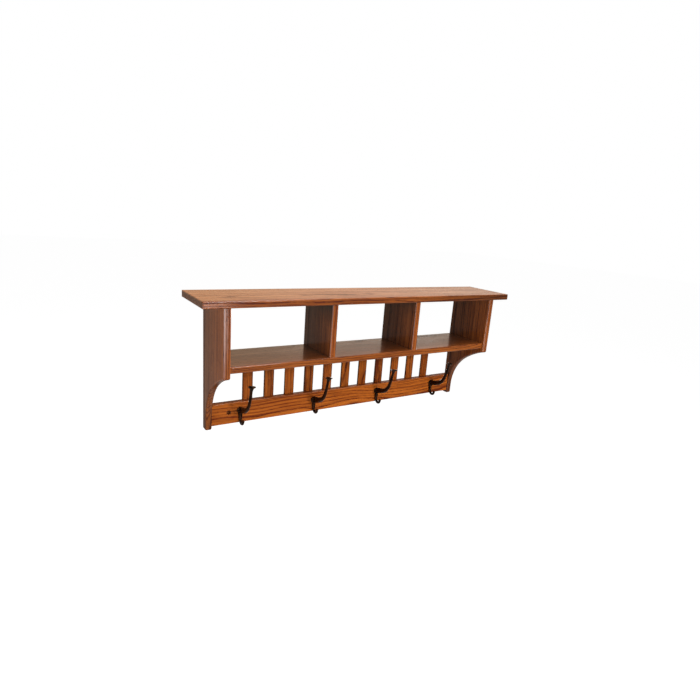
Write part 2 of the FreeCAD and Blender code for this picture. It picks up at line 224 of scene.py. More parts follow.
def stainedOak(look, name, varnishShare):
    # Plain-sawn red oak, stained and sealed with satin varnish: rings show as long lines, pores as dashes
    finish, tree, shader = newMaterial(name)
    painted = (("grainAt", "Vector"), ("endGrain", "Fac"), ("arris", "Fac"), ("tone", "Fac"))
    place, endShare, rubbedAndHighlightShare, tone = [
        addNode(tree, "ShaderNodeAttribute", {"attribute_name": attribute}).outputs[output]
        for attribute, output in painted]

    def grainPattern(alongMm, acrossMm, detail, roughness):
        scale = (1 / (alongMm * mm), 1 / (acrossMm * mm), 1 / (acrossMm * mm))
        stretched = addNode(tree, "ShaderNodeVectorMath", "MULTIPLY", (place, scale))
        return addNode(tree, "ShaderNodeTexNoise", links={
            "Vector": stretched, "Scale": 1.0, "Detail": detail, "Roughness": roughness})

    def addUp(total, weighted):
        for pattern, weight in weighted:
            total = addNode(tree, "ShaderNodeMath", "MULTIPLY_ADD", (pattern, weight, total))
        return total

    bands, years = growthRings(tree, look, place, grainPattern(*look["wanderOver"]).outputs["Color"])

    # Fine streaks, tongues, patches, broken lines and open pores
    patterns = {key: grainPattern(*values[:4]) for key, values in look["patterns"].items()}
    broken = addNode(tree, "ShaderNodeMapRange", {"interpolation_type": "SMOOTHSTEP"}, {
        "Value": grainPattern(*look["breaks"]),
        "From Min": look["breakFrom"][0], "From Max": look["breakFrom"][1],
        "To Min": look["breakTo"][0], "To Max": look["breakTo"][1]})
    earlyWood = addNode(tree, "ShaderNodeMath", "SUBTRACT", (1.0, bands))
    poreLimit = addUp(look["poreLimit"], [(earlyWood, look["earlyPores"])])
    overLimit = addNode(tree, "ShaderNodeMath", "SUBTRACT", (grainPattern(*look["pores"]), poreLimit))
    pores = addNode(tree, "ShaderNodeMapRange", {"interpolation_type": "SMOOTHSTEP"}, {
        "Value": overLimit, "From Min": 0.0, "From Max": look["poreEdge"]})

    ringShare = addNode(tree, "ShaderNodeMath", "SUBTRACT", (bands, look["middleRing"]))
    lightShare = addUp(look["middleTone"], [(ringShare, broken)])
    weighted = [(patterns[key], values[4]) for key, values in look["patterns"].items()]
    for pattern, weight in weighted + [(years, look["yearSpread"])]:
        aboveMiddle = addNode(tree, "ShaderNodeMath", "SUBTRACT", (pattern, 0.5))
        lightShare = addUp(lightShare, [(aboveMiddle, weight)])
    colour = linearColour(look["dark"])
    # Layers over the dark wood: ring lightness, rubbed arrises with a painted highlight, end grain, pores
    stainsAndHighlight = ((lightShare, 1.0, "light"), (rubbedAndHighlightShare, patterns["streak"], "rubbedAndHighlight"),
              (endShare, look["endStain"], "endGrain"), (pores, look["poreStain"], "pore"))
    for share, strength, layerColour in stainsAndHighlight:
        factor = addNode(tree, "ShaderNodeMath", "MULTIPLY", (share, strength))
        colour = addNode(tree, "ShaderNodeMix", {"data_type": "RGBA"}, {
            "Factor": factor, "A": colour, "B": linearColour(look[layerColour])})

    roughness = addUp(look["roughness"], [(patterns["patch"], look["patchRoughness"]),
                                          (pores, look["poreRoughness"])])
    height = addUp(0.0, [(bands, look["ringRelief"]), (pores, look["poreRelief"]),
                         (patterns["fuzz"], look["fuzzRelief"])])
    woodBump, varnishBump = [addNode(tree, "ShaderNodeBump", links={
        "Strength": look[strength], "Distance": look["reliefMm"] * mm, "Height": height})
        for strength in ("woodBump", "varnishBump")]
    # Varnish lies thinner over the dark lines and pores
    thickness = addNode(tree, "ShaderNodeMapRange", links={
        "Value": lightShare, "From Min": 0.0, "From Max": look["lightestWood"],
        "To Min": look["varnishOver"][0] * varnishShare, "To Max": look["varnishOver"][1] * varnishShare})
    # The tone attribute scales the colour: stain that differs between boards, and painted light and shade
    setInputs(tree, shader, {
        "Base Color": addNode(tree, "ShaderNodeVectorMath", "SCALE", {0: colour, "Scale": tone}),
        "Roughness": roughness, "Normal": woodBump, "Specular IOR Level": look["specular"],
        "Coat Weight": thickness, "Coat Roughness": look["varnishRoughness"], "Coat Normal": varnishBump})
    return finish


bronzeLook = {
    "dark": "#0b0705",
    "worn": "#4c2f1f",        # high spots rubbed back to brown
    "wornShare": 0.55,        # how brown the rubbed spots are
    "brownFrom": 0.25,        # patches above this are a little brown too
    "castMm": 1.6,            # cast skin, drawn coarser than its real grains so that it shows
    "patchMm": 14.0,
    "roughness": 0.18, "patchRoughness": 0.2, "reliefMm": 0.12, "bump": 0.3,
    "metallic": 0.85, "specular": 0.15,
}


def bronzedIron(look):
    # Cast iron with an oil-rubbed bronze coat: nearly black, satin, brown where hands rub it
    finish, tree, shader = newMaterial("oil-rubbed bronze on cast iron")
    place = addNode(tree, "ShaderNodeTexCoord").outputs["Object"]
    skin, patch = [addNode(tree, "ShaderNodeTexNoise", links={
        "Vector": place, "Scale": 1 / (size * mm), "Detail": detail})
        for size, detail in ((look["castMm"], 3.0), (look["patchMm"], 2.0))]
    worn = addNode(tree, "ShaderNodeAttribute", {"attribute_name": "worn"}).outputs["Fac"]
    share = addNode(tree, "ShaderNodeMath", "SUBTRACT", (patch, look["brownFrom"]))
    share = addNode(tree, "ShaderNodeMath", {"operation": "MULTIPLY_ADD", "use_clamp": True},
                    (worn, look["wornShare"], share))
    setInputs(tree, shader, {
        "Base Color": addNode(tree, "ShaderNodeMix", {"data_type": "RGBA"}, {
            "Factor": share, "A": linearColour(look["dark"]), "B": linearColour(look["worn"])}),
        "Roughness": addNode(tree, "ShaderNodeMath", "MULTIPLY_ADD", (
            patch, look["patchRoughness"], look["roughness"])),
        "Normal": addNode(tree, "ShaderNodeBump", links={
            "Strength": look["bump"], "Distance": look["reliefMm"] * mm, "Height": skin}),
        "Metallic": look["metallic"], "Specular IOR Level": look["specular"]})
    return finish


# Draw marks and fibres are wider than real so that they show
steelLook = {"dark": "#8b8a86", "light": "#bdbcb8", "drawMarkMm": 0.4, "roughness": 0.38}
beechLook = {"dark": "#b98d62", "light": "#d8b48a", "fibreMm": (16.667, 1.111), "roughness": 0.6}


def brightSteel(look):
    # Drawn wire with a cut head: plain grey, faint draw marks
    finish, tree, shader = newMaterial("bright drawn steel")
    place = addNode(tree, "ShaderNodeTexCoord").outputs["Object"]
    marks = addNode(tree, "ShaderNodeTexNoise", links={
        "Vector": place, "Scale": 1 / (look["drawMarkMm"] * mm), "Detail": 2.0})
    setInputs(tree, shader, {
        "Base Color": addNode(tree, "ShaderNodeMix", {"data_type": "RGBA"}, {
            "Factor": marks, "A": linearColour(look["dark"]), "B": linearColour(look["light"])}),
        "Metallic": 1.0, "Roughness": look["roughness"]})
    return finish


def bareBeech(look):
    # Turned beech dowel, unfinished: pale, with fine lines along it
    finish, tree, shader = newMaterial("bare beech")
    place = addNode(tree, "ShaderNodeTexCoord").outputs["Object"]
    along, across = [1 / (size * mm) for size in look["fibreMm"]]
    longWays = addNode(tree, "ShaderNodeVectorMath", "MULTIPLY", (place, (along, across, across)))
    lines = addNode(tree, "ShaderNodeTexNoise", links={"Vector": longWays, "Scale": 1.0, "Detail": 3.0})
    setInputs(tree, shader, {
        "Base Color": addNode(tree, "ShaderNodeMix", {"data_type": "RGBA"}, {
            "Factor": lines, "A": linearColour(look["dark"]), "B": linearColour(look["light"])}),
        "Roughness": look["roughness"]})
    return finish


oak = stainedOak(oakLook, "stained red oak, satin varnish", oakLook["varnishShare"])
thinOak = stainedOak(oakLook, "stained red oak, thin varnish", oakLook["thinVarnishShare"])
bronze = bronzedIron(bronzeLook)
steel = brightSteel(steelLook)
beech = bareBeech(beechLook)
print("finishes made")


# Boards

def boardMesh(name, outline, axis, low, high):
    # A closed prism: outline is a list of points in the two other axes, run from low to high along axis
    others = [i for i in range(3) if i != axis]

    def corner(point, along):
        place = [0.0, 0.0, 0.0]
        place[axis] = along
        place[others[0]], place[others[1]] = point
        return place

    work = bmesh.new()
    first = [work.verts.new(corner(p, low)) for p in outline]
    last = [work.verts.new(corner(p, high)) for p in outline]
    work.faces.new(first)
    work.faces.new(last)
    for i in range(len(outline)):
        j = (i + 1) % len(outline)
        work.faces.new((first[i], first[j], last[j], last[i]))
    return closedForm(work, name)


def boxMesh(name, low, high):
    outline = [(low[1], low[2]), (high[1], low[2]), (high[1], high[2]), (low[1], high[2])]
    return boardMesh(name, outline, 0, low[0], high[0])


def weightEdges(mesh, roundOf):
    # Each edge's rounding in metres, as a share of the largest
    work = openMesh(mesh)
    layers = work.edges.layers.float
    layer = layers.get("bevel_weight_edge") or layers.new("bevel_weight_edge")
    widths = [roundOf(*[v.co for v in edge.verts]) for edge in work.edges]
    largest = max(widths)
    for edge, width in zip(work.edges, widths):
        edge[layer] = width / largest
    closeMesh(work, mesh)
    return largest


def roundBoard(board, roundOf, segments=4):
    width = weightEdges(board.data, roundOf)
    bevel = board.modifiers.new("rounded arrises", "BEVEL")
    bevel.limit_method = "WEIGHT"
    bevel.offset_type = "OFFSET"
    bevel.width = width
    bevel.segments = segments
    bevel.profile = 0.5
    bevel.use_clamp_overlap = False
    return settle(board)


def cutBoard(board, cutters):
    for cutter in cutters:
        cut = board.modifiers.new("cut", "BOOLEAN")
        cut.operation = "DIFFERENCE"
        cut.solver = "EXACT"
        cut.object = cutter
    settle(board)
    discard(*cutters)
    return board


def smoothFaces(board, sharpDegrees=40, faceWeight=80):
    for face in board.data.polygons:
        face.use_smooth = True
    work = openMesh(board.data)
    for edge in work.edges:
        edge.smooth = len(edge.link_faces) == 2 and edge.calc_face_angle(0) < math.radians(sharpDegrees)
    closeMesh(work, board.data)
    weighted = board.modifiers.new("even shading", "WEIGHTED_NORMAL")
    weighted.keep_sharp = True
    weighted.weight = faceWeight
    return settle(board)


rounding = {"topMm": 3.0, "shelfMm": 3.0, "dividerMm": 3.0, "railMm": 2.0, "easedMm": 0.5}
stainAndShade = {
    "wallSide": (0.6, 0.6),   # tones of the faces on the wall
    "headShadeFrom": 0.55,         # share of the height from which the painted head shade sets in
    "fibresCut": (0.55, 0.9),  # how squarely a face cuts the fibres where end grain begins and is full
    # How squarely a face has to look that way to take its tone
    "toWall": 0.7, "sideways": 0.3, "upwards": 0.9, "flatSide": 0.9, "flatFront": 0.999,
}
# heart: where each board lay in its log, along, across and through it, in mm
# tone: wood lightness with painted light and shade, in even steps from the low side to the high side of
# toneAxis
# topToneAndShade, sideToneAndShade: the same, with their own painted light, for faces that look up and
# sideways
# headShade: painted shade under the top board, what is left of the tone at the top of the board's sides
# edgeShade: painted shade, the tone at the outer edges of the front
# rubbedAndHighlight: how far the left and right arrises are rubbed through and carry a painted highlight
# rubbedAndHighlightFrom: the share of the height down to which the painted highlight fades out
boardLooks = {
    "top_board": {"heart": (0, 30, 70), "tone": (0.62, 0.57, 0.24), "topToneAndShade": (0.72, 0.82, 0.66),
                  "toneAxis": 0, "rubbedAndHighlight": (0.15, 0.15)},
    "side_left": {"heart": (300, 60, 120), "tone": (0.56, 0.48), "sideToneAndShade": (0.96, 0.3),
                  "toneAxis": 1, "rubbedAndHighlight": (2.2, 0.1), "rubbedAndHighlightFrom": 0.42},
    "side_right": {"heart": (900, -60, 120), "tone": (0.6, 0.4), "sideToneAndShade": (0.64, 0.3),
                   "toneAxis": 1, "rubbedAndHighlight": (0.3, 0.2)},
    "cubby_shelf": {"heart": (1700, -25, 85), "tone": (0.56, 0.42), "topToneAndShade": (0.36, 0.04),
                    "toneAxis": 1, "rubbedAndHighlight": (0.1, 0.1)},
    "divider_left": {"heart": (2600, 55, 125), "tone": (0.72, 0.5), "sideToneAndShade": (0.54, 0.2),
                     "toneAxis": 1, "headShade": 0.0, "rubbedAndHighlight": (0.5, 0.3)},
    "divider_right": {"heart": (3300, -58, 130), "tone": (0.72, 0.5), "sideToneAndShade": (0.6, 0.3),
                      "toneAxis": 1, "headShade": 0.3, "rubbedAndHighlight": (0.5, 0.3)},
    "hook_rail": {"heart": (4100, 62, 40), "tone": (1.0, 0.35), "toneAxis": 1, "rubbedAndHighlight": (0.3, 0.3)},
    "slats": {"heart": (5200, 38, 42), "tone": (0.8, 0.55), "sideToneAndShade": (0.12, 0.12), "edgeShade": 0.2,
              "toneAxis": 1, "rubbedAndHighlight": (0.0, 0.0)},
}


def sharesAlong(mesh, axis):
    # How far each vertex lies from the low side to the high side
    places = [v.co[axis] for v in mesh.vertices]
    low, high = min(places), max(places)
    return [(place - low) / (high - low) for place in places]


def stopsOf(look, normal):
    # The tones of a face that looks that way, with painted light and shade
    if normal.y > stainAndShade["toWall"] and look["toneAxis"] == 1:
        return stainAndShade["wallSide"]
    if abs(normal.x) > stainAndShade["sideways"]:
        return look.get("sideToneAndShade", look["tone"])
    if normal.z > stainAndShade["upwards"]:
        return look.get("topToneAndShade", look["tone"])
    return look["tone"]


def cornerTonesAndShade(mesh, look, heights):
    # How light the wood is at each corner of each face, with painted light and shade
    shares = sharesAlong(mesh, look["toneAxis"])
    shadedTones = [1.0] * len(mesh.loops)
    for face in mesh.polygons:
        stops = stopsOf(look, face.normal)
        flatSide = abs(face.normal.x) > stainAndShade["flatSide"]
        for corner, vertex in zip(face.loop_indices, face.vertices):
            place = shares[vertex] * (len(stops) - 1)
            before = min(int(place), len(stops) - 2)
            shadedTones[corner] = stops[before] + (stops[before + 1] - stops[before]) * (place - before)
            # Painted shade under the top board, darker towards the top of the sides
            if "headShade" in look and flatSide:
                rise = shareBetween(heights[vertex], stainAndShade["headShadeFrom"], 1)
                shadedTones[corner] *= 1 - (1 - look["headShade"]) * rise
    return shadedTones


def shadeFrontEdges(mesh, look, shadedTones):
    # Painted shade at the outer corners of the front face
    front = [face for face in mesh.polygons if face.normal.y < -stainAndShade["flatFront"]]
    furthest = max(abs(mesh.vertices[i].co.x) for face in front for i in face.vertices)
    for face in front:
        for corner, vertex in zip(face.loop_indices, face.vertices):
            if same(abs(mesh.vertices[vertex].co.x), furthest):
                shadedTones[corner] = look["edgeShade"]


def cornerWearAndHighlight(mesh, along, look, heights, curvedAcross):
    # End grain where a face cuts the fibres, and rubbed stain and painted highlight over an arris
    ends, rubbedAndHighlights = [], []
    for loop, normal in zip(mesh.loops, mesh.corner_normals):
        n = [abs(v) for v in normal.vector]
        share = shareBetween(n[along], *stainAndShade["fibresCut"])
        ends.append(share * share * (3 - 2 * share))
        if curvedAcross is None:
            proud = 2 * max(n[0] * n[1], n[1] * n[2], n[0] * n[2])
        else:
            proud = 2 * n[curvedAcross] * math.hypot(*[n[i] for i in range(3) if i != curvedAcross])
        # Painted highlight and rubbing, by the side the arris turns to, fading towards the bottom if given
        rubbedAndHighlight = look["rubbedAndHighlight"][0 if normal.vector.x < 0 else 1]
        if "rubbedAndHighlightFrom" in look:
            rubbedAndHighlight *= shareBetween(heights[loop.vertex_index], look["rubbedAndHighlightFrom"], 1)
        rubbedAndHighlights.append(proud * rubbedAndHighlight)
    return ends, rubbedAndHighlights


def paintGrainAndShade(mesh, along, look, curvedAcross=None):
    # grainAt: metres along the grain, across the board and through it, from the tree's heart line
    others = [i for i in range(3) if i != along]
    heart = Vector(look["heart"]) * mm
    grain = mesh.attributes.new("grainAt", "FLOAT_VECTOR", "POINT")
    middle = sum((v.co for v in mesh.vertices), Vector()) / len(mesh.vertices)
    for vertex in mesh.vertices:
        place = vertex.co - middle
        grain.data[vertex.index].vector = Vector((place[along], place[others[0]], place[others[1]])) + heart
    heights = sharesAlong(mesh, 2)
    # Painted light and shade, carried in the tone of each corner
    shadedTones = cornerTonesAndShade(mesh, look, heights)
    if "edgeShade" in look:
        shadeFrontEdges(mesh, look, shadedTones)
    ends, rubbedAndHighlights = cornerWearAndHighlight(mesh, along, look, heights, curvedAcross)
    for name, values in (("tone", shadedTones), ("endGrain", ends), ("arris", rubbedAndHighlights)):
        mesh.attributes.new(name, "FLOAT", "CORNER").data.foreach_set("value", values)


def cutAcross(mesh, axis, shares):
    # Lines across the board where its tone and painted shade change
    places = [v.co[axis] for v in mesh.vertices]
    low, high = min(places), max(places)
    work = openMesh(mesh)
    for share in shares:
        place, across = Vector(), Vector()
        place[axis] = low + (high - low) * share
        across[axis] = 1
        parts = work.verts[:] + work.edges[:] + work.faces[:]
        bmesh.ops.bisect_plane(work, geom=parts, plane_co=place, plane_no=across)
    closeMesh(work, mesh)


def finishBoard(board, node, along, curvedAcross=None, finish=oak):
    look = boardLooks[node]
    steps = len(look["tone"]) - 1
    cutAcross(board.data, look["toneAxis"], [i / steps for i in range(1, steps)])
    # A cut where the painted head shade begins
    if "headShade" in look:
        cutAcross(board.data, 2, [stainAndShade["headShadeFrom"]])
    smoothFaces(board)
    paintGrainAndShade(board.data, along, look, curvedAcross)
    coat(board.data, finish)
    return board


def straightBoard(node, name, along, frontRound, rounded, cutters=(), finish=oak):
    # A box as the CAD node's visible part, with the chosen edges rounded and the rest eased, then cut
    low, high = visibleBox[node]
    board = addObject(name, boxMesh(name, low, high))

    def roundOf(a, b):
        return frontRound * mm if rounded(a, b, low, high) else rounding["easedMm"] * mm

    roundBoard(board, roundOf)
    if cutters:
        cutBoard(board, cutters)
    return finishBoard(board, node, along, finish=finish)


# The visible part of each board leaves out the tongues that hide in housings
visibleBox = {node: [Vector(c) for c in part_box(node)]
              for node in ("top_board", "cubby_shelf", "divider_left", "divider_right", "hook_rail")}
railLow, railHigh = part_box("hook_rail")
shelfUnderside, shelfTop = [corner.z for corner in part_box("cubby_shelf")]
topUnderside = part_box("top_board")[0].z
visibleBox["cubby_shelf"][0].x = -railHigh.x
visibleBox["cubby_shelf"][1].x = railHigh.x
for node in ("divider_left", "divider_right"):
    visibleBox[node][0].z = shelfTop
    visibleBox[node][1].z = topUnderside


def atFront(a, b, low):
    return same(a.y, low.y) and same(b.y, low.y)


def topRounded(a, b, low, high):
    onEnd = same(a.x, b.x) and same(abs(a.x), high.x) and same(a.z, b.z)
    return atFront(a, b, low) or onEnd


def alongFront(a, b, low, high):
    return atFront(a, b, low) and same(a.z, b.z)


def uprightFront(a, b, low, high):
    return atFront(a, b, low) and same(a.x, b.x)


topBoard = straightBoard("top_board", "topBoard", 0, rounding["topMm"], topRounded)
dividerLeft = straightBoard("divider_left", "dividerLeft", 2, rounding["dividerMm"], uprightFront)
dividerRight = straightBoard("divider_right", "dividerRight", 2, rounding["dividerMm"], uprightFront)
print("top board and dividers made")


# Side panels with the bracket curve, in mm out from the wall and above the rail's middle

sidePanel = {
    "depth": 175.0, "legDepth": 24.0, "curveRadius": 152.4, "curveTurn": 54.0,
    "curveStart": 33.0,       # above the leg's end
    "frontEnd": 155.0,        # level of the lower front corner
    "cornerRound": 6.0, "arrisRound": 5.0,
    "upperSteps": 13, "lowerSteps": 26, "cornerSteps": 6, "arrisSteps": 5,
    "cornerTowards": 3,       # the point of the upper arc that the front corner is rounded towards
    "cornerGap": 1.0,         # between the corner's last point and the next one of the arc
}


def arcPoints(centre, radius, start, end, steps):
    return [(centre[0] + radius * math.cos(start + (end - start) * i / steps),
             centre[1] + radius * math.sin(start + (end - start) * i / steps)) for i in range(steps + 1)]


def roundedCorner(before, corner, after, look):
    # Points of a small arc in place of a corner
    radius, steps = look["cornerRound"], look["cornerSteps"]
    c, a, b = Vector(corner), Vector(before), Vector(after)
    toA, toB = (a - c).normalized(), (b - c).normalized()
    half = toA.angle(toB) / 2
    reach = radius / math.tan(half)
    centre = c + (toA + toB).normalized() * radius / math.sin(half)
    start, end = c + toA * reach - centre, c + toB * reach - centre
    return [tuple(centre + start.slerp(end, i / steps).normalized() * radius) for i in range(steps + 1)]


def sideOutline(look, legEnd, top):
    # Down the front, round two tangent arcs, down the leg and up the back
    turn = math.radians(look["curveTurn"])
    radius = look["curveRadius"]
    foot = (look["legDepth"], legEnd + look["curveStart"])
    lowerCentre = (foot[0] + radius, foot[1])
    meeting = (lowerCentre[0] - radius * math.cos(turn), lowerCentre[1] + radius * math.sin(turn))
    corner = (look["depth"], look["frontEnd"])
    chord = (corner[0] - meeting[0], corner[1] - meeting[1])
    outward = (-math.cos(turn), math.sin(turn))
    upper = (chord[0] ** 2 + chord[1] ** 2) / (-2 * (outward[0] * chord[0] + outward[1] * chord[1]))
    upperCentre = (meeting[0] - outward[0] * upper, meeting[1] - outward[1] * upper)
    startAngle = math.atan2(corner[1] - upperCentre[1], corner[0] - upperCentre[0])
    endAngle = math.atan2(meeting[1] - upperCentre[1], meeting[0] - upperCentre[0])
    if endAngle < startAngle:
        endAngle += 2 * math.pi
    upperArc = arcPoints(upperCentre, upper, startAngle, endAngle, look["upperSteps"])
    lowerArc = arcPoints(lowerCentre, radius, math.pi - turn, math.pi, look["lowerSteps"])
    frontCorner = roundedCorner((look["depth"], top), corner, upperArc[look["cornerTowards"]], look)
    legCorner = roundedCorner(foot, (look["legDepth"], legEnd), (0, legEnd), look)
    kept = [p for p in upperArc if p[0] < frontCorner[-1][0] - look["cornerGap"]]
    points = [(0, top), (look["depth"], top)] + frontCorner + kept + lowerArc[1:] + legCorner + [(0, legEnd)]
    return [(-p[0] * mm, p[1] * mm) for p in points]


def sideBoard(node, name):
    low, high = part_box(node)
    outline = sideOutline(sidePanel, low.z / mm, topUnderside / mm)
    board = addObject(name, boardMesh(name, outline, 0, low.x, high.x))

    def roundOf(a, b):
        onBack = same(a.y, 0) and same(b.y, 0)
        onTop = same(a.z, topUnderside) and same(b.z, topUnderside)
        if onTop or not same(a.x, b.x):
            return 0.0
        return (rounding["easedMm"] if onBack else sidePanel["arrisRound"]) * mm

    roundBoard(board, roundOf, sidePanel["arrisSteps"])
    return finishBoard(board, node, 2, curvedAcross=0)


sideLeft = sideBoard("side_left", "sideLeft")
sideRight = sideBoard("side_right", "sideRight")
print("side panels made")


# Rows: one tree places a blank along the wall, for slats, brads, hooks and screws

def rowTree():
    tree = bpy.data.node_groups.new("row along the wall", "GeometryNodeTree")
    inputs = (("Geometry", "Geometry"), ("Blank", "Object"), ("Count", "Int"), ("Pitch", "Float"),
              ("Grain shift", "Float"), ("Tone spread", "Float"), ("Seed", "Int"), ("Finish", "Material"))
    for name, kind in inputs:
        tree.interface.new_socket(name, in_out="INPUT", socket_type="NodeSocket" + kind)
    tree.interface.new_socket("Geometry", in_out="OUTPUT", socket_type="NodeSocketGeometry")
    given = addNode(tree, "NodeGroupInput").outputs

    # The blank on a line of points, centred on the wall's middle
    gaps = addNode(tree, "ShaderNodeMath", "SUBTRACT", (given["Count"], 1.0))
    halfRun = addNode(tree, "ShaderNodeMath", "MULTIPLY", (gaps, -0.5))
    first = addNode(tree, "ShaderNodeMath", "MULTIPLY", (halfRun, given["Pitch"]))
    line = addNode(tree, "GeometryNodeMeshLine", {"mode": "OFFSET"}, {
        "Count": given["Count"],
        "Start Location": addNode(tree, "ShaderNodeCombineXYZ", links={"X": first}),
        "Offset": addNode(tree, "ShaderNodeCombineXYZ", links={"X": given["Pitch"]})})
    blank = addNode(tree, "GeometryNodeObjectInfo", links={"Object": given["Blank"]}).outputs["Geometry"]
    row = addNode(tree, "GeometryNodeInstanceOnPoints", links={"Points": line, "Instance": blank})

    # Each one's own place in the log and its own tone
    drawn = addNode(tree, "FunctionNodeRandomValue", {"data_type": "FLOAT_VECTOR"},
                    {"Min": (-1, -1, -1), "Max": (1, 1, 1), "Seed": given["Seed"]})
    shift = addNode(tree, "ShaderNodeVectorMath", "SCALE", {0: drawn, "Scale": given["Grain shift"]})
    lightness = addNode(tree, "FunctionNodeRandomValue", {"data_type": "FLOAT"},
                        {"Min": -1.0, "Max": 1.0, "Seed": given["Seed"]})
    spread = addNode(tree, "ShaderNodeMath", "MULTIPLY_ADD", (lightness, given["Tone spread"], 1.0))
    for name, kind, value in (("boardShift", "FLOAT_VECTOR", shift), ("boardTone", "FLOAT", spread)):
        row = addNode(tree, "GeometryNodeStoreNamedAttribute", {"data_type": kind, "domain": "INSTANCE"},
                      {"Geometry": row, "Name": name, "Value": value})
    row = addNode(tree, "GeometryNodeRealizeInstances", links={"Geometry": row})
    changes = (("grainAt", "boardShift", "FLOAT_VECTOR", "POINT", "ShaderNodeVectorMath", "ADD"),
               ("tone", "boardTone", "FLOAT", "CORNER", "ShaderNodeMath", "MULTIPLY"))
    for name, change, kind, domain, combine, operation in changes:
        both = [addNode(tree, "GeometryNodeInputNamedAttribute", {"data_type": kind}, {"Name": attribute})
                for attribute in (name, change)]
        row = addNode(tree, "GeometryNodeStoreNamedAttribute", {"data_type": kind, "domain": domain},
                      {"Geometry": row, "Name": name, "Value": addNode(tree, combine, operation, both)})
    row = addNode(tree, "GeometryNodeSetMaterial", links={"Geometry": row, "Material": given["Finish"]})
    addNode(tree, "NodeGroupOutput", links={"Geometry": row})
    return tree


def makeRow(name, tree, values):
    row = addObject(name, bpy.data.meshes.new(name))
    nodes = row.modifiers.new("row", "NODES")
    nodes.node_group = tree
    for item in tree.interface.items_tree:
        if item.in_out == "INPUT" and item.name in values:
            nodes[item.identifier] = values[item.name]
    settle(row, name)
    discard(values["Blank"])
    return row


def joinedMesh(name, meshes):
    made = closeMesh(openMesh(*meshes), bpy.data.meshes.new(name))
    for mesh in meshes:
        bpy.data.meshes.remove(mesh)
    return made


def turnedMesh(name, profile, steps):
    # A solid of revolution about Z from (radius, height) points, closed at both poles
    work = bmesh.new()
    rings = []
    for radius, height in profile:
        circle = [(0, 0)] if same(radius, 0) else arcPoints((0, 0), radius, 0, 2 * math.pi, steps)[:-1]
        rings.append([work.verts.new((x, y, height)) for x, y in circle])
    for lower, upper in zip(rings, rings[1:]):
        for i in range(steps):
            j = (i + 1) % steps
            corners = [ring[k % len(ring)] for ring, k in ((lower, i), (lower, j), (upper, j), (upper, i))]
            unique = list(dict.fromkeys(corners))
            if len(unique) > 2:
                work.faces.new(unique)
    return closedForm(work, name)


def moveMesh(mesh, matrix):
    mesh.transform(matrix)
    return mesh


def tipped(place, degrees=90):
    # From upright to pointing out from the wall, or as far as the degrees say
    return Matrix.Translation(place) @ Matrix.Rotation(math.radians(degrees), 4, "X")


rows = rowTree()
slatRow = {"count": 11, "notchGapMm": 0.2, "frontRoundMm": 1.0, "easedMm": 0.3, "roundSteps": 3,
           "edgeBandMm": 4.0, "grainShift": 0.35, "toneSpread": 0.18, "seed": 4}
# Sizes in mm
bradLook = {
    "headRadius": 1.0, "headDepth": 0.8, "shankRadius": 0.6, "length": 14.0, "setBelow": 0.15,
    "crownShare": 0.8, "crownDrop": 0.15, "neckDrop": 0.2, "pointLength": 1.2,
    "holeGap": 0.05, "steps": 20,
}
cutPast = 2.0  # how far a cutter reaches past the wood, in mm

firstLow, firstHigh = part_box("slat_01")
slatPitch = (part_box("slat_11")[0].x - firstLow.x) / (slatRow["count"] - 1)
slatHalf = (firstHigh.x - firstLow.x) / 2
slatThickness = -firstLow.y
slatLow, slatHigh = firstLow.z, firstHigh.z
bradLevels = ((slatLow + railHigh.z) / 2, (slatHigh + shelfUnderside) / 2)
slatPlaces = [(i - (slatRow["count"] - 1) / 2) * slatPitch for i in range(slatRow["count"])]


def bradHole(look, z):
    radius, depth = (look["headRadius"] + look["holeGap"]) * mm, look["headDepth"] * mm
    profile = [(0, -cutPast * mm), (radius, -cutPast * mm), (radius, depth), (0, depth)]
    return addObject("hole", moveMesh(turnedMesh("hole", profile, look["steps"]), tipped((0, 0, z))))


def slatBlank(look):
    low, high = (-slatHalf, -slatThickness, slatLow), (slatHalf, 0, slatHigh)
    blank = addObject("slatBlank", boxMesh("slatBlank", low, high))

    def roundOf(a, b):
        front = same(a.y, -slatThickness) and same(b.y, -slatThickness) and same(a.x, b.x)
        return (look["frontRoundMm"] if front else look["easedMm"]) * mm

    roundBoard(blank, roundOf, look["roundSteps"])
    work = openMesh(blank.data)
    front = [face for face in work.faces if face.normal.y < -stainAndShade["flatFront"]]
    # A band round the front face, so that the painted edge shade stays narrow
    bmesh.ops.inset_individual(work, faces=front, thickness=look["edgeBandMm"] * mm)
    closeMesh(work, blank.data)
    cutBoard(blank, [bradHole(bradLook, z) for z in bradLevels])
    smoothFaces(blank)
    paintGrainAndShade(blank.data, 2, boardLooks["slats"])
    return blank


def bradMesh(look, z):
    # Its head is just below the wall side of the slat and its point is in the wood in front
    top, under = -look["setBelow"] * mm, -look["headDepth"] * mm
    head, shank = look["headRadius"] * mm, look["shankRadius"] * mm
    profile = [(0, top), (head * look["crownShare"], top), (head, top - look["crownDrop"] * mm),
               (head, under), (shank, under - look["neckDrop"] * mm),
               (shank, -(look["length"] - look["pointLength"]) * mm), (0, -look["length"] * mm)]
    return moveMesh(turnedMesh("brad", profile, look["steps"]), tipped((0, 0, z), -90))


def bradBlank(look):
    meshes = [bradMesh(look, z) for z in bradLevels]
    return smoothFaces(addObject("bradBlank", joinedMesh("bradBlank", meshes)))


slats = makeRow("slats", rows, {
    "Blank": slatBlank(slatRow), "Count": slatRow["count"], "Pitch": slatPitch, "Finish": thinOak,
    "Grain shift": slatRow["grainShift"], "Tone spread": slatRow["toneSpread"], "Seed": slatRow["seed"]})
brads = makeRow("slatBrads", rows, {
    "Blank": bradBlank(bradLook), "Count": slatRow["count"], "Pitch": slatPitch, "Finish": steel})
print("slats and brads made")


# Shelf and rail, which the slats are let into from behind

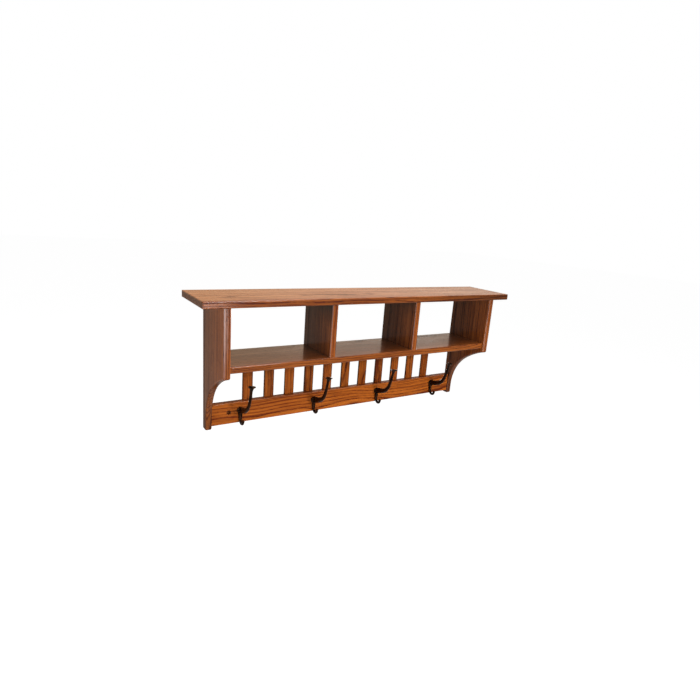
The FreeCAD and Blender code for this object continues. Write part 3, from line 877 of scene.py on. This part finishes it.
def slatNotches(low, high):
    gap = slatRow["notchGapMm"] * mm
    cutters = []
    for x in slatPlaces:
        nearSide = (x - slatHalf - gap, -slatThickness - gap, low)
        farSide = (x + slatHalf + gap, cutPast * mm, high)
        cutters.append(addObject("notch", boxMesh("notch", nearSide, farSide)))
    return cutters


# Sizes in mm. The tones paint shade in the counterbore: dark walls and a lighter floor
wallHole = {
    "spacing": 812.8, "radius": 2.5, "counterboreRadius": 6.35, "counterboreDepth": 6.5, "edge": 0.4,
    "holeWallShade": 0.25, "holeFloorShade": 0.8, "wallMargin": 0.1, "floorMargin": 0.6, "steps": 48,
}


def wallHoleCutter(look, side):
    face = -railLow.y / mm
    floor = face - look["counterboreDepth"]
    wide, edge, narrow = look["counterboreRadius"], look["edge"], look["radius"]
    past = 1.5 * edge
    profile = [(0, -cutPast), (narrow, -cutPast), (narrow, floor - edge), (narrow + edge, floor),
               (wide, floor), (wide, face - edge), (wide + edge + past, face + past), (0, face + past)]
    mesh = turnedMesh("hole", [(radius * mm, height * mm) for radius, height in profile], look["steps"])
    return addObject("hole", moveMesh(mesh, tipped((side * look["spacing"] / 2 * mm, 0, 0))))


def shadeWallHoles(look, mesh):
    # Painted shade: dark counterbore walls, a lighter floor round the hole
    attribute = mesh.attributes["tone"]
    shadedTones = [item.value for item in attribute.data]
    for corner, loop in enumerate(mesh.loops):
        place = mesh.vertices[loop.vertex_index].co
        fromHole = math.hypot(abs(place.x) - look["spacing"] / 2 * mm, place.z) / mm
        if fromHole < look["radius"] + look["floorMargin"]:
            shadedTones[corner] = look["holeFloorShade"]
        elif fromHole < look["counterboreRadius"] + look["wallMargin"]:
            shadedTones[corner] = look["holeWallShade"]
    attribute.data.foreach_set("value", shadedTones)


shelfNotches = slatNotches(shelfUnderside - cutPast * mm, slatHigh + slatRow["notchGapMm"] * mm)
cubbyShelf = straightBoard("cubby_shelf", "cubbyShelf", 0, rounding["shelfMm"], alongFront, shelfNotches)
railCutters = slatNotches(slatLow - slatRow["notchGapMm"] * mm, railHigh.z + cutPast * mm)
railCutters += [wallHoleCutter(wallHole, side) for side in (-1, 1)]
hookRail = straightBoard("hook_rail", "hookRail", 0, rounding["railMm"], alongFront, railCutters, thinOak)
shadeWallHoles(wallHole, hookRail.data)
print("shelf and rail made")


# Coat hooks, all sizes in mm from the middle of the round pad on the rail's face: forward, up

hookLook = {
    "count": 4, "level": 3.5,  # above the rail's middle
    "padRadius": 10.5, "plate": 5.0, "padEdge": 1.2, "padEdgeRise": 1.0, "padDome": 0.6, "padSteps": 6,
    "strapTop": 7.25, "strapEnd": 4.75, "strapLength": 28.6,
    "strapEdge": ((1.2, 0.0), (0.4, 0.35), (0.0, 1.0)),  # below the front, and in from the sides
    "strapShrink": 60.0,      # a strap this long would draw in as far at its end as at its sides
    "strapSteps": 12,
    "bendRadius": 10.4, "prongRadius": 4.2, "wallGap": 0.3, "prongTurn": 182.0, "ballRadius": 4.8,
    "prongStart": 8.0, "prongTip": 1.2, "prongSteps": 10, "bendSteps": 24, "ballSteps": 16,
    "roundSteps": 64, "barSteps": 32,
    "reach": 88.0, "rise": 98.0,
    "path": ((0.03, 0.02), (0.55, 0.135), (0.88, 0.15), (0.865, 0.72), (1.0, 1.0)),
    "rootHeight": 9.6, "rootWidth": 4.5, "neck": 4.0, "neckShare": 0.88, "sections": 30,
    "flareRadius": 7.6, "flareSteps": 8,
    "capRadius": 11.0, "capThickness": 2.4, "capDome": 0.7, "capTilt": 2.0, "capSteps": 8,
    "voxel": 0.55, "filletShare": 0.5, "filletRounds": 5, "keptFaces": 0.32,
    "wearRounds": 3, "wearGain": 6.0,
}
screwLook = {
    "spacing": 14.4, "shankRadius": 1.4, "length": 16.0, "pointLength": 3.0, "pointShare": 0.3,
    "headRadius": 2.5, "headDepth": 1.6, "dome": 0.5, "domeSteps": 6,
    "slotLength": 2.8, "slotWidth": 0.7, "slotDepth": 1.0, "slotPast": 1.0, "turns": (-15, 55),
    "sinkGap": 0.06, "sinkEdge": 0.5, "sinkPast": 1.5, "steps": 40,
}


def middleOf(node):
    low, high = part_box(node)
    return (low.x + high.x) / 2


hookPitch = (middleOf("hook_4") - middleOf("hook_1")) / (hookLook["count"] - 1)


def tubeMesh(name, rings):
    # Rings of points, joined in turn and closed at both ends
    work = bmesh.new()
    made = [[work.verts.new(point) for point in ring] for ring in rings]
    count = len(made[0])
    for lower, upper in zip(made, made[1:]):
        for i in range(count):
            j = (i + 1) % count
            work.faces.new((lower[i], lower[j], upper[j], upper[i]))
    work.faces.new(made[0])
    work.faces.new(made[-1])
    return closedForm(work, name)


def ovalRing(look, centre, facing, halfHeight, halfWidth):
    facing, steps = Vector(facing).normalized(), look["barSteps"]
    sideways = Vector((1, 0, 0))
    upward = facing.cross(sideways).normalized()
    return [centre + sideways * halfWidth * math.cos(2 * math.pi * i / steps)
            + upward * halfHeight * math.sin(2 * math.pi * i / steps) for i in range(steps)]


def domeProfile(radius, base, rise, steps):
    # From the edge of a shallow dome to its middle
    return [(radius * (1 - i / steps), base + rise * (1 - (1 - i / steps) ** 2)) for i in range(1, steps + 1)]


def hookPoint(forward, up):
    return Vector((0, railLow.y / mm - forward, hookLook["level"] + up))


def armPoint(look, share):
    points = [Vector((a * look["reach"], b * look["rise"])) for a, b in look["path"]]
    while len(points) > 1:
        points = [p.lerp(q, share) for p, q in zip(points, points[1:])]
    return hookPoint(points[0].x, points[0].y)


def armFacing(look, share, reach=0.01):
    return (armPoint(look, min(share + reach, 1)) - armPoint(look, max(share - reach, 0))).normalized()


def armMesh(look):
    # An oval bar that thins to a round neck and flares under the cap
    tilt = math.radians(look["capTilt"])
    capAxis = Vector((0, math.sin(tilt), math.cos(tilt)))
    neck, rings = look["neck"], []
    for i in range(look["sections"] + 1):
        share = look["neckShare"] * i / look["sections"]
        taper = 1 - share / look["neckShare"]
        height, width = [neck + (look[root] - neck) * taper for root in ("rootHeight", "rootWidth")]
        rings.append(ovalRing(look, armPoint(look, share), armFacing(look, share), height, width))
    for i in range(1, look["flareSteps"] + 1):
        grown = i / look["flareSteps"]
        share = look["neckShare"] + (1 - look["neckShare"]) * grown
        facing = armFacing(look, share).lerp(capAxis, grown)
        radius = neck + (look["flareRadius"] - neck) * grown ** 2
        rings.append(ovalRing(look, armPoint(look, share), facing, radius, radius))
    return tubeMesh("arm", rings)


def capMesh(look):
    # A disc with a round rim and a low dome
    rim, steps = look["capThickness"] / 2, look["capSteps"]
    wide = look["capRadius"] - rim
    profile = [(0, 0)] + arcPoints((wide, rim), rim, -math.pi / 2, math.pi / 2, steps)
    profile += domeProfile(wide, look["capThickness"], look["capDome"], steps)
    mesh = turnedMesh("cap", profile, look["roundSteps"])
    return moveMesh(mesh, tipped(armPoint(look, 1), -look["capTilt"]))


def bendPoint(look, angle):
    forward = look["wallGap"] + look["prongRadius"] + look["bendRadius"] * (1 - math.cos(angle))
    return hookPoint(forward, -look["strapLength"] - look["bendRadius"] * math.sin(angle))


def prongMesh(look):
    # Down behind the strap, swelling to full size, then round the bend
    start, tip, radius = look["prongStart"], look["prongTip"], look["prongRadius"]
    rings = []
    for i in range(look["prongSteps"] + 1):
        share = i / look["prongSteps"]
        up = -start - (look["strapLength"] - start) * share
        swelling = tip + (radius - tip) * share
        rings.append(ovalRing(look, hookPoint(look["wallGap"] + radius, up), (0, 0, -1), swelling, swelling))
    for i in range(1, look["bendSteps"] + 1):
        angle = math.radians(look["prongTurn"]) * i / look["bendSteps"]
        facing = (0, -math.sin(angle), -math.cos(angle))
        rings.append(ovalRing(look, bendPoint(look, angle), facing, radius, radius))
    return tubeMesh("prong", rings)


def ballMesh(look):
    radius, steps = look["ballRadius"], look["ballSteps"]
    profile = [(radius * math.sin(math.pi * i / steps), -radius * math.cos(math.pi * i / steps))
               for i in range(steps + 1)]
    centre = bendPoint(look, math.radians(look["prongTurn"]))
    return moveMesh(turnedMesh("ball", profile, look["barSteps"]), Matrix.Translation(centre))


def padMesh(look):
    # A round pad with a rounded edge and a low dome
    radius, edge, rise = look["padRadius"], look["padEdge"], look["padEdgeRise"]
    edgeFrom = look["plate"] - look["padDome"] - rise
    profile = [(0, 0), (radius, 0), (radius, edgeFrom)]
    profile += [(radius - edge + edge * x, edgeFrom + rise * z)
                for x, z in arcPoints((0, 0), 1, 0, math.pi / 2, look["padSteps"])[1:]]
    profile += domeProfile(radius - edge, look["plate"] - look["padDome"], look["padDome"], look["padSteps"])
    return moveMesh(turnedMesh("pad", profile, look["roundSteps"]), tipped(hookPoint(0, 0)))


def strapMesh(look):
    # A flat bar that narrows downwards and ends round
    outline = [(-look["strapTop"], 0), (look["strapTop"], 0)]
    outline += arcPoints((0, -look["strapLength"]), look["strapEnd"], 0, -math.pi, look["strapSteps"])
    rings = []
    for under, inset in ((look["plate"], 0.0),) + look["strapEdge"]:
        narrowed, shortened = 1 - inset / look["strapTop"], 1 - inset / look["strapShrink"]
        rings.append([hookPoint(look["plate"] - under, up * shortened) + Vector((x * narrowed, 0, 0))
                      for x, up in outline])
    return tubeMesh("strap", rings)


def wearOf(mesh, look):
    # How far each point stands proud of its neighbours, spread out a little
    work = openMesh(mesh)
    work.normal_update()
    values = []
    for vertex in work.verts:
        around = [edge.other_vert(vertex).co for edge in vertex.link_edges]
        middle = sum(around, Vector()) / len(around)
        spread = sum((p - vertex.co).length for p in around) / len(around)
        values.append((vertex.co - middle).dot(vertex.normal) / spread)
    for _ in range(look["wearRounds"]):
        values = [(values[v.index] + sum(values[e.other_vert(v).index] for e in v.link_edges))
                  / (1 + len(v.link_edges)) for v in work.verts]
    work.free()
    worn = mesh.attributes.new("worn", "FLOAT", "POINT")
    worn.data.foreach_set("value", [min(1.0, max(0.0, v * look["wearGain"])) for v in values])


def screwProfile(look, grow=0.0):
    # From the point up to the edge of the head
    head, shank = look["headRadius"] + grow, look["shankRadius"] + grow
    return [(0, -look["length"]), (shank * look["pointShare"], -look["length"]),
            (shank, -look["length"] + look["pointLength"]), (shank, -look["headDepth"]), (head, 0)]


def screwPlace(look, side):
    return hookPoint(hookLook["plate"], 0) + Vector((side * look["spacing"] / 2, 0, 0))


def countersink(look, side):
    wide, past = look["headRadius"] + look["sinkEdge"], look["sinkPast"]
    profile = screwProfile(look, look["sinkGap"]) + [(wide, past), (0, past)]
    mesh = turnedMesh("countersink", profile, look["steps"])
    return addObject("countersink", moveMesh(mesh, tipped(screwPlace(look, side))))


def hookBlank(look):
    # The parts grow into one casting with fillets between them
    meshes = [padMesh(look), strapMesh(look), armMesh(look), capMesh(look), prongMesh(look), ballMesh(look)]
    blank = addObject("hookBlank", joinedMesh("hookBlank", meshes))
    cast = blank.modifiers.new("one casting", "REMESH")
    cast.mode = "VOXEL"
    cast.voxel_size = look["voxel"]
    cast.adaptivity = 0.0
    soften = blank.modifiers.new("cast fillets", "SMOOTH")
    soften.factor = look["filletShare"]
    soften.iterations = look["filletRounds"]
    settle(blank)
    thin = blank.modifiers.new("fewer faces", "DECIMATE")
    thin.ratio = look["keptFaces"]
    settle(blank)
    cutBoard(blank, [countersink(screwLook, side) for side in (-1, 1)])
    blank.data.transform(Matrix.Scale(mm, 4))
    for face in blank.data.polygons:
        face.use_smooth = True
    wearOf(blank.data, look)
    return blank


def screwBlank(look):
    # A pair of flat heads with crossed slots, each turned as far as it was driven
    made = []
    for side, turn in zip((-1, 1), look["turns"]):
        profile = screwProfile(look) + domeProfile(look["headRadius"], 0, look["dome"], look["domeSteps"])
        screw = addObject("screw", turnedMesh("screw", profile, look["steps"]))
        long, thin = look["slotLength"] / 2, look["slotWidth"] / 2
        low, high = look["dome"] - look["slotDepth"], look["dome"] + look["slotPast"]
        cutBoard(screw, [addObject("slot", boxMesh("slot", (-x, -y, low), (x, y, high)))
                         for x, y in ((long, thin), (thin, long))])
        turned = Matrix.Rotation(math.radians(turn), 4, "Z")
        screw.data.transform(Matrix.Scale(mm, 4) @ tipped(screwPlace(look, side)) @ turned)
        made.append(screw)
    pair = addObject("screwBlank", joinedMesh("screwBlank", [screw.data.copy() for screw in made]))
    discard(*made)
    return smoothFaces(pair)


hooks = makeRow("coatHooks", rows, {
    "Blank": hookBlank(hookLook), "Count": hookLook["count"], "Pitch": hookPitch, "Finish": bronze})
print("hooks made:", len(hooks.data.polygons), "faces")
screws = makeRow("hookScrews", rows, {
    "Blank": screwBlank(screwLook), "Count": hookLook["count"], "Pitch": hookPitch, "Finish": bronze})
print("screws made")


# Every piece on its body

slatNodes = ["slat_%02d" % number for number in range(1, slatRow["count"] + 1)]
hookNodes = ["hook_%d" % number for number in range(1, hookLook["count"] + 1)]
pieces = [
    (topBoard, "stained_oak", ["top_board"]),
    (sideLeft, "stained_oak", ["side_left"]),
    (sideRight, "stained_oak", ["side_right"]),
    (cubbyShelf, "stained_oak", ["cubby_shelf"]),
    (dividerLeft, "stained_oak", ["divider_left"]),
    (dividerRight, "stained_oak", ["divider_right"]),
    (hookRail, "stained_oak", ["hook_rail"]),
    (slats, "stained_oak", slatNodes),
    (brads, "bright_steel", ["slat_brads"]),
    (hooks, "bronzed_iron", hookNodes),
    (screws, "bronzed_steel", ["hook_screws"]),
]
for piece, slotName, nodes in pieces:
    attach(piece, "root")
    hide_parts(*nodes)
coat(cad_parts["rail_dowels"].data, beech)
print("pieces ride on the body")


# Floor, light and camera

floorLook = {
    "level": -1.5, "size": 60.0, "colour": "#b4b4b4",
    # Tint and strength of what is seen directly, and of what the varnish mirrors
    "glow": {"Is Camera Ray": ((1.0, 1.0, 1.0, 1.0), 0.92), "Is Glossy Ray": ((1.0, 0.75, 0.56, 1.0), 0.3)},
}


def whiteFloor(look):
    # Matt pale floor that keeps the shadow: white where it is seen directly, warm and dimmer in the varnish
    finish = bpy.data.materials.new("white studio floor")
    tree = emptyTree(finish)
    ray = addNode(tree, "ShaderNodeLightPath").outputs
    surface = addNode(tree, "ShaderNodeBsdfDiffuse", links={"Color": linearColour(look["colour"])})
    for kind, (tint, strength) in look["glow"].items():
        level = addNode(tree, "ShaderNodeMath", "MULTIPLY", (ray[kind], strength))
        glow = addNode(tree, "ShaderNodeEmission", links={"Color": tint, "Strength": level})
        surface = addNode(tree, "ShaderNodeAddShader", links=(surface, glow))
    addNode(tree, "ShaderNodeOutputMaterial", links={"Surface": surface})
    return finish


def layFloor(look):
    half, level = look["size"] / 2, look["level"]
    mesh = bpy.data.meshes.new("floor")
    corners = [(x * half, y * half, level) for x, y in ((-1, -1), (1, -1), (1, 1), (-1, 1))]
    mesh.from_pydata(corners, [], [(0, 1, 2, 3)])
    coat(mesh, whiteFloor(look))
    return addObject("floor", mesh)


roomLook = {
    "white": (1.0, 1.0, 1.0, 1.0),
    # Tints of the mirrored room behind, to the right, and higher up over both
    "behind": (1.0, 0.76, 0.48, 1.0), "right": (1.0, 0.92, 0.76, 1.0), "higher": (0.98, 0.8, 0.8, 1.0),
    # Axis of the direction, where the change starts and ends on it, and the values there
    "light": ("Y", -0.5, 0.3, 0.25, 0.08),       # the wall side gives less light than the room
    "toRight": ("X", 0.29, 0.74, 0.0, 1.0),
    "toHigher": ("Z", 0.16, 0.21, 0.0, 1.0),
    "mirroring": ("Y", -0.1, 0.4, 0.15, 1.0),    # the room in front is mirrored dimmer than the wall side
}


def studioWorld(look):
    # Even light on the object, white where it is seen directly, and a warm pale room in the varnish
    world = bpy.data.worlds.new("studio")
    tree = emptyTree(world)
    ray = addNode(tree, "ShaderNodeLightPath").outputs
    towards = addNode(tree, "ShaderNodeSeparateXYZ", links=(
        addNode(tree, "ShaderNodeTexCoord").outputs["Generated"],)).outputs
    levels = {}
    for name in ("light", "toRight", "toHigher", "mirroring"):
        axis, start, end, low, high = look[name]
        levels[name] = addNode(tree, "ShaderNodeMapRange", links={
            "Value": towards[axis], "From Min": start, "From Max": end, "To Min": low, "To Max": high})
    room = addNode(tree, "ShaderNodeMix", {"data_type": "RGBA"}, {
        "Factor": levels["toRight"], "A": look["behind"], "B": look["right"]})
    room = addNode(tree, "ShaderNodeMix", {"data_type": "RGBA", "blend_type": "MULTIPLY"}, {
        "Factor": levels["toHigher"], "A": room, "B": look["higher"]})
    seen = ((look["white"], levels["light"]), (room, levels["mirroring"]), (look["white"], 1.0))
    plain, mirrored, white = [
        addNode(tree, "ShaderNodeBackground", links={"Color": colour, "Strength": strength})
        for colour, strength in seen]
    direct = addNode(tree, "ShaderNodeMath", "MAXIMUM", (ray["Is Camera Ray"], ray["Is Transmission Ray"]))
    shown = addNode(tree, "ShaderNodeMixShader", links=(ray["Is Glossy Ray"], plain, mirrored))
    sky = addNode(tree, "ShaderNodeMixShader", links=(direct, shown, white))
    addNode(tree, "ShaderNodeOutputWorld", links={"Surface": sky})
    return world


# Place, point that it shines at, width and height, power
lamps = {
    "key": ((0.3, -2.0, 0.85), (0, -0.1, 0.15), (0.5, 0.4), 29.0),
    "overhead": ((0.4, -0.75, 3.0), (0, -0.1, 0.15), (2.4, 1.6), 84.0),
    "low fill": ((-0.65, -2.6, -0.33), (-0.47, -0.17, 0.25), (1.5, 0.6), 8.0),
    "sheen": ((0.26, -2.6, -0.24), (-0.47, -0.17, 0.25), (0.24, 0.44), 2.2),
    "strip": ((-2.4, -0.7, -0.1), (-0.476, -0.1, 0.05), (0.7, 1.1), 15.0),
    "back fill": ((1.6, 2.2, 0.0), (0, 0, 0.15), (1.2, 0.7), 22.0),
}


def areaLight(name, place, target, size, power):
    data = bpy.data.lights.new(name, "AREA")
    data.shape = "RECTANGLE"
    data.size, data.size_y = size
    data.energy = power
    lamp = addObject(name, data)
    lamp.location = place
    lamp.rotation_euler = (Vector(target) - Vector(place)).to_track_quat("-Z", "Y").to_euler()


# Fitted to the photograph: place in metres, angles in degrees, lens and sensor in mm
photoView = {
    "place": (-0.8888, -1.3780, 0.5789), "azimuth": -33.26, "elevation": 14.49, "roll": 4.29,
    "lens": 26.27, "sensor": 36.0,
}


def photoCamera(look):
    azimuth, elevation, roll = [math.radians(look[key]) for key in ("azimuth", "elevation", "roll")]
    level = math.cos(elevation)
    back = Vector((math.sin(azimuth) * level, -math.cos(azimuth) * level, math.sin(elevation)))
    right = Vector((0, 0, 1)).cross(back).normalized()
    up = back.cross(right)
    across = right * math.cos(roll) + up * math.sin(roll)
    upward = -right * math.sin(roll) + up * math.cos(roll)
    data = bpy.data.cameras.new("camera")
    data.sensor_fit = "HORIZONTAL"
    data.sensor_width = look["sensor"]
    data.lens = look["lens"]
    camera = addObject("camera", data)
    turned = Matrix((across, upward, back)).transposed().to_4x4()
    camera.matrix_world = Matrix.Translation(look["place"]) @ turned
    return camera


floor = layFloor(floorLook)
bpy.context.scene.world = studioWorld(roomLook)
for name, values in lamps.items():
    areaLight(name, *values)
bpy.context.scene.camera = photoCamera(photoView)
bpy.context.scene.view_settings.view_transform = "Standard"
print("floor, light and camera set")
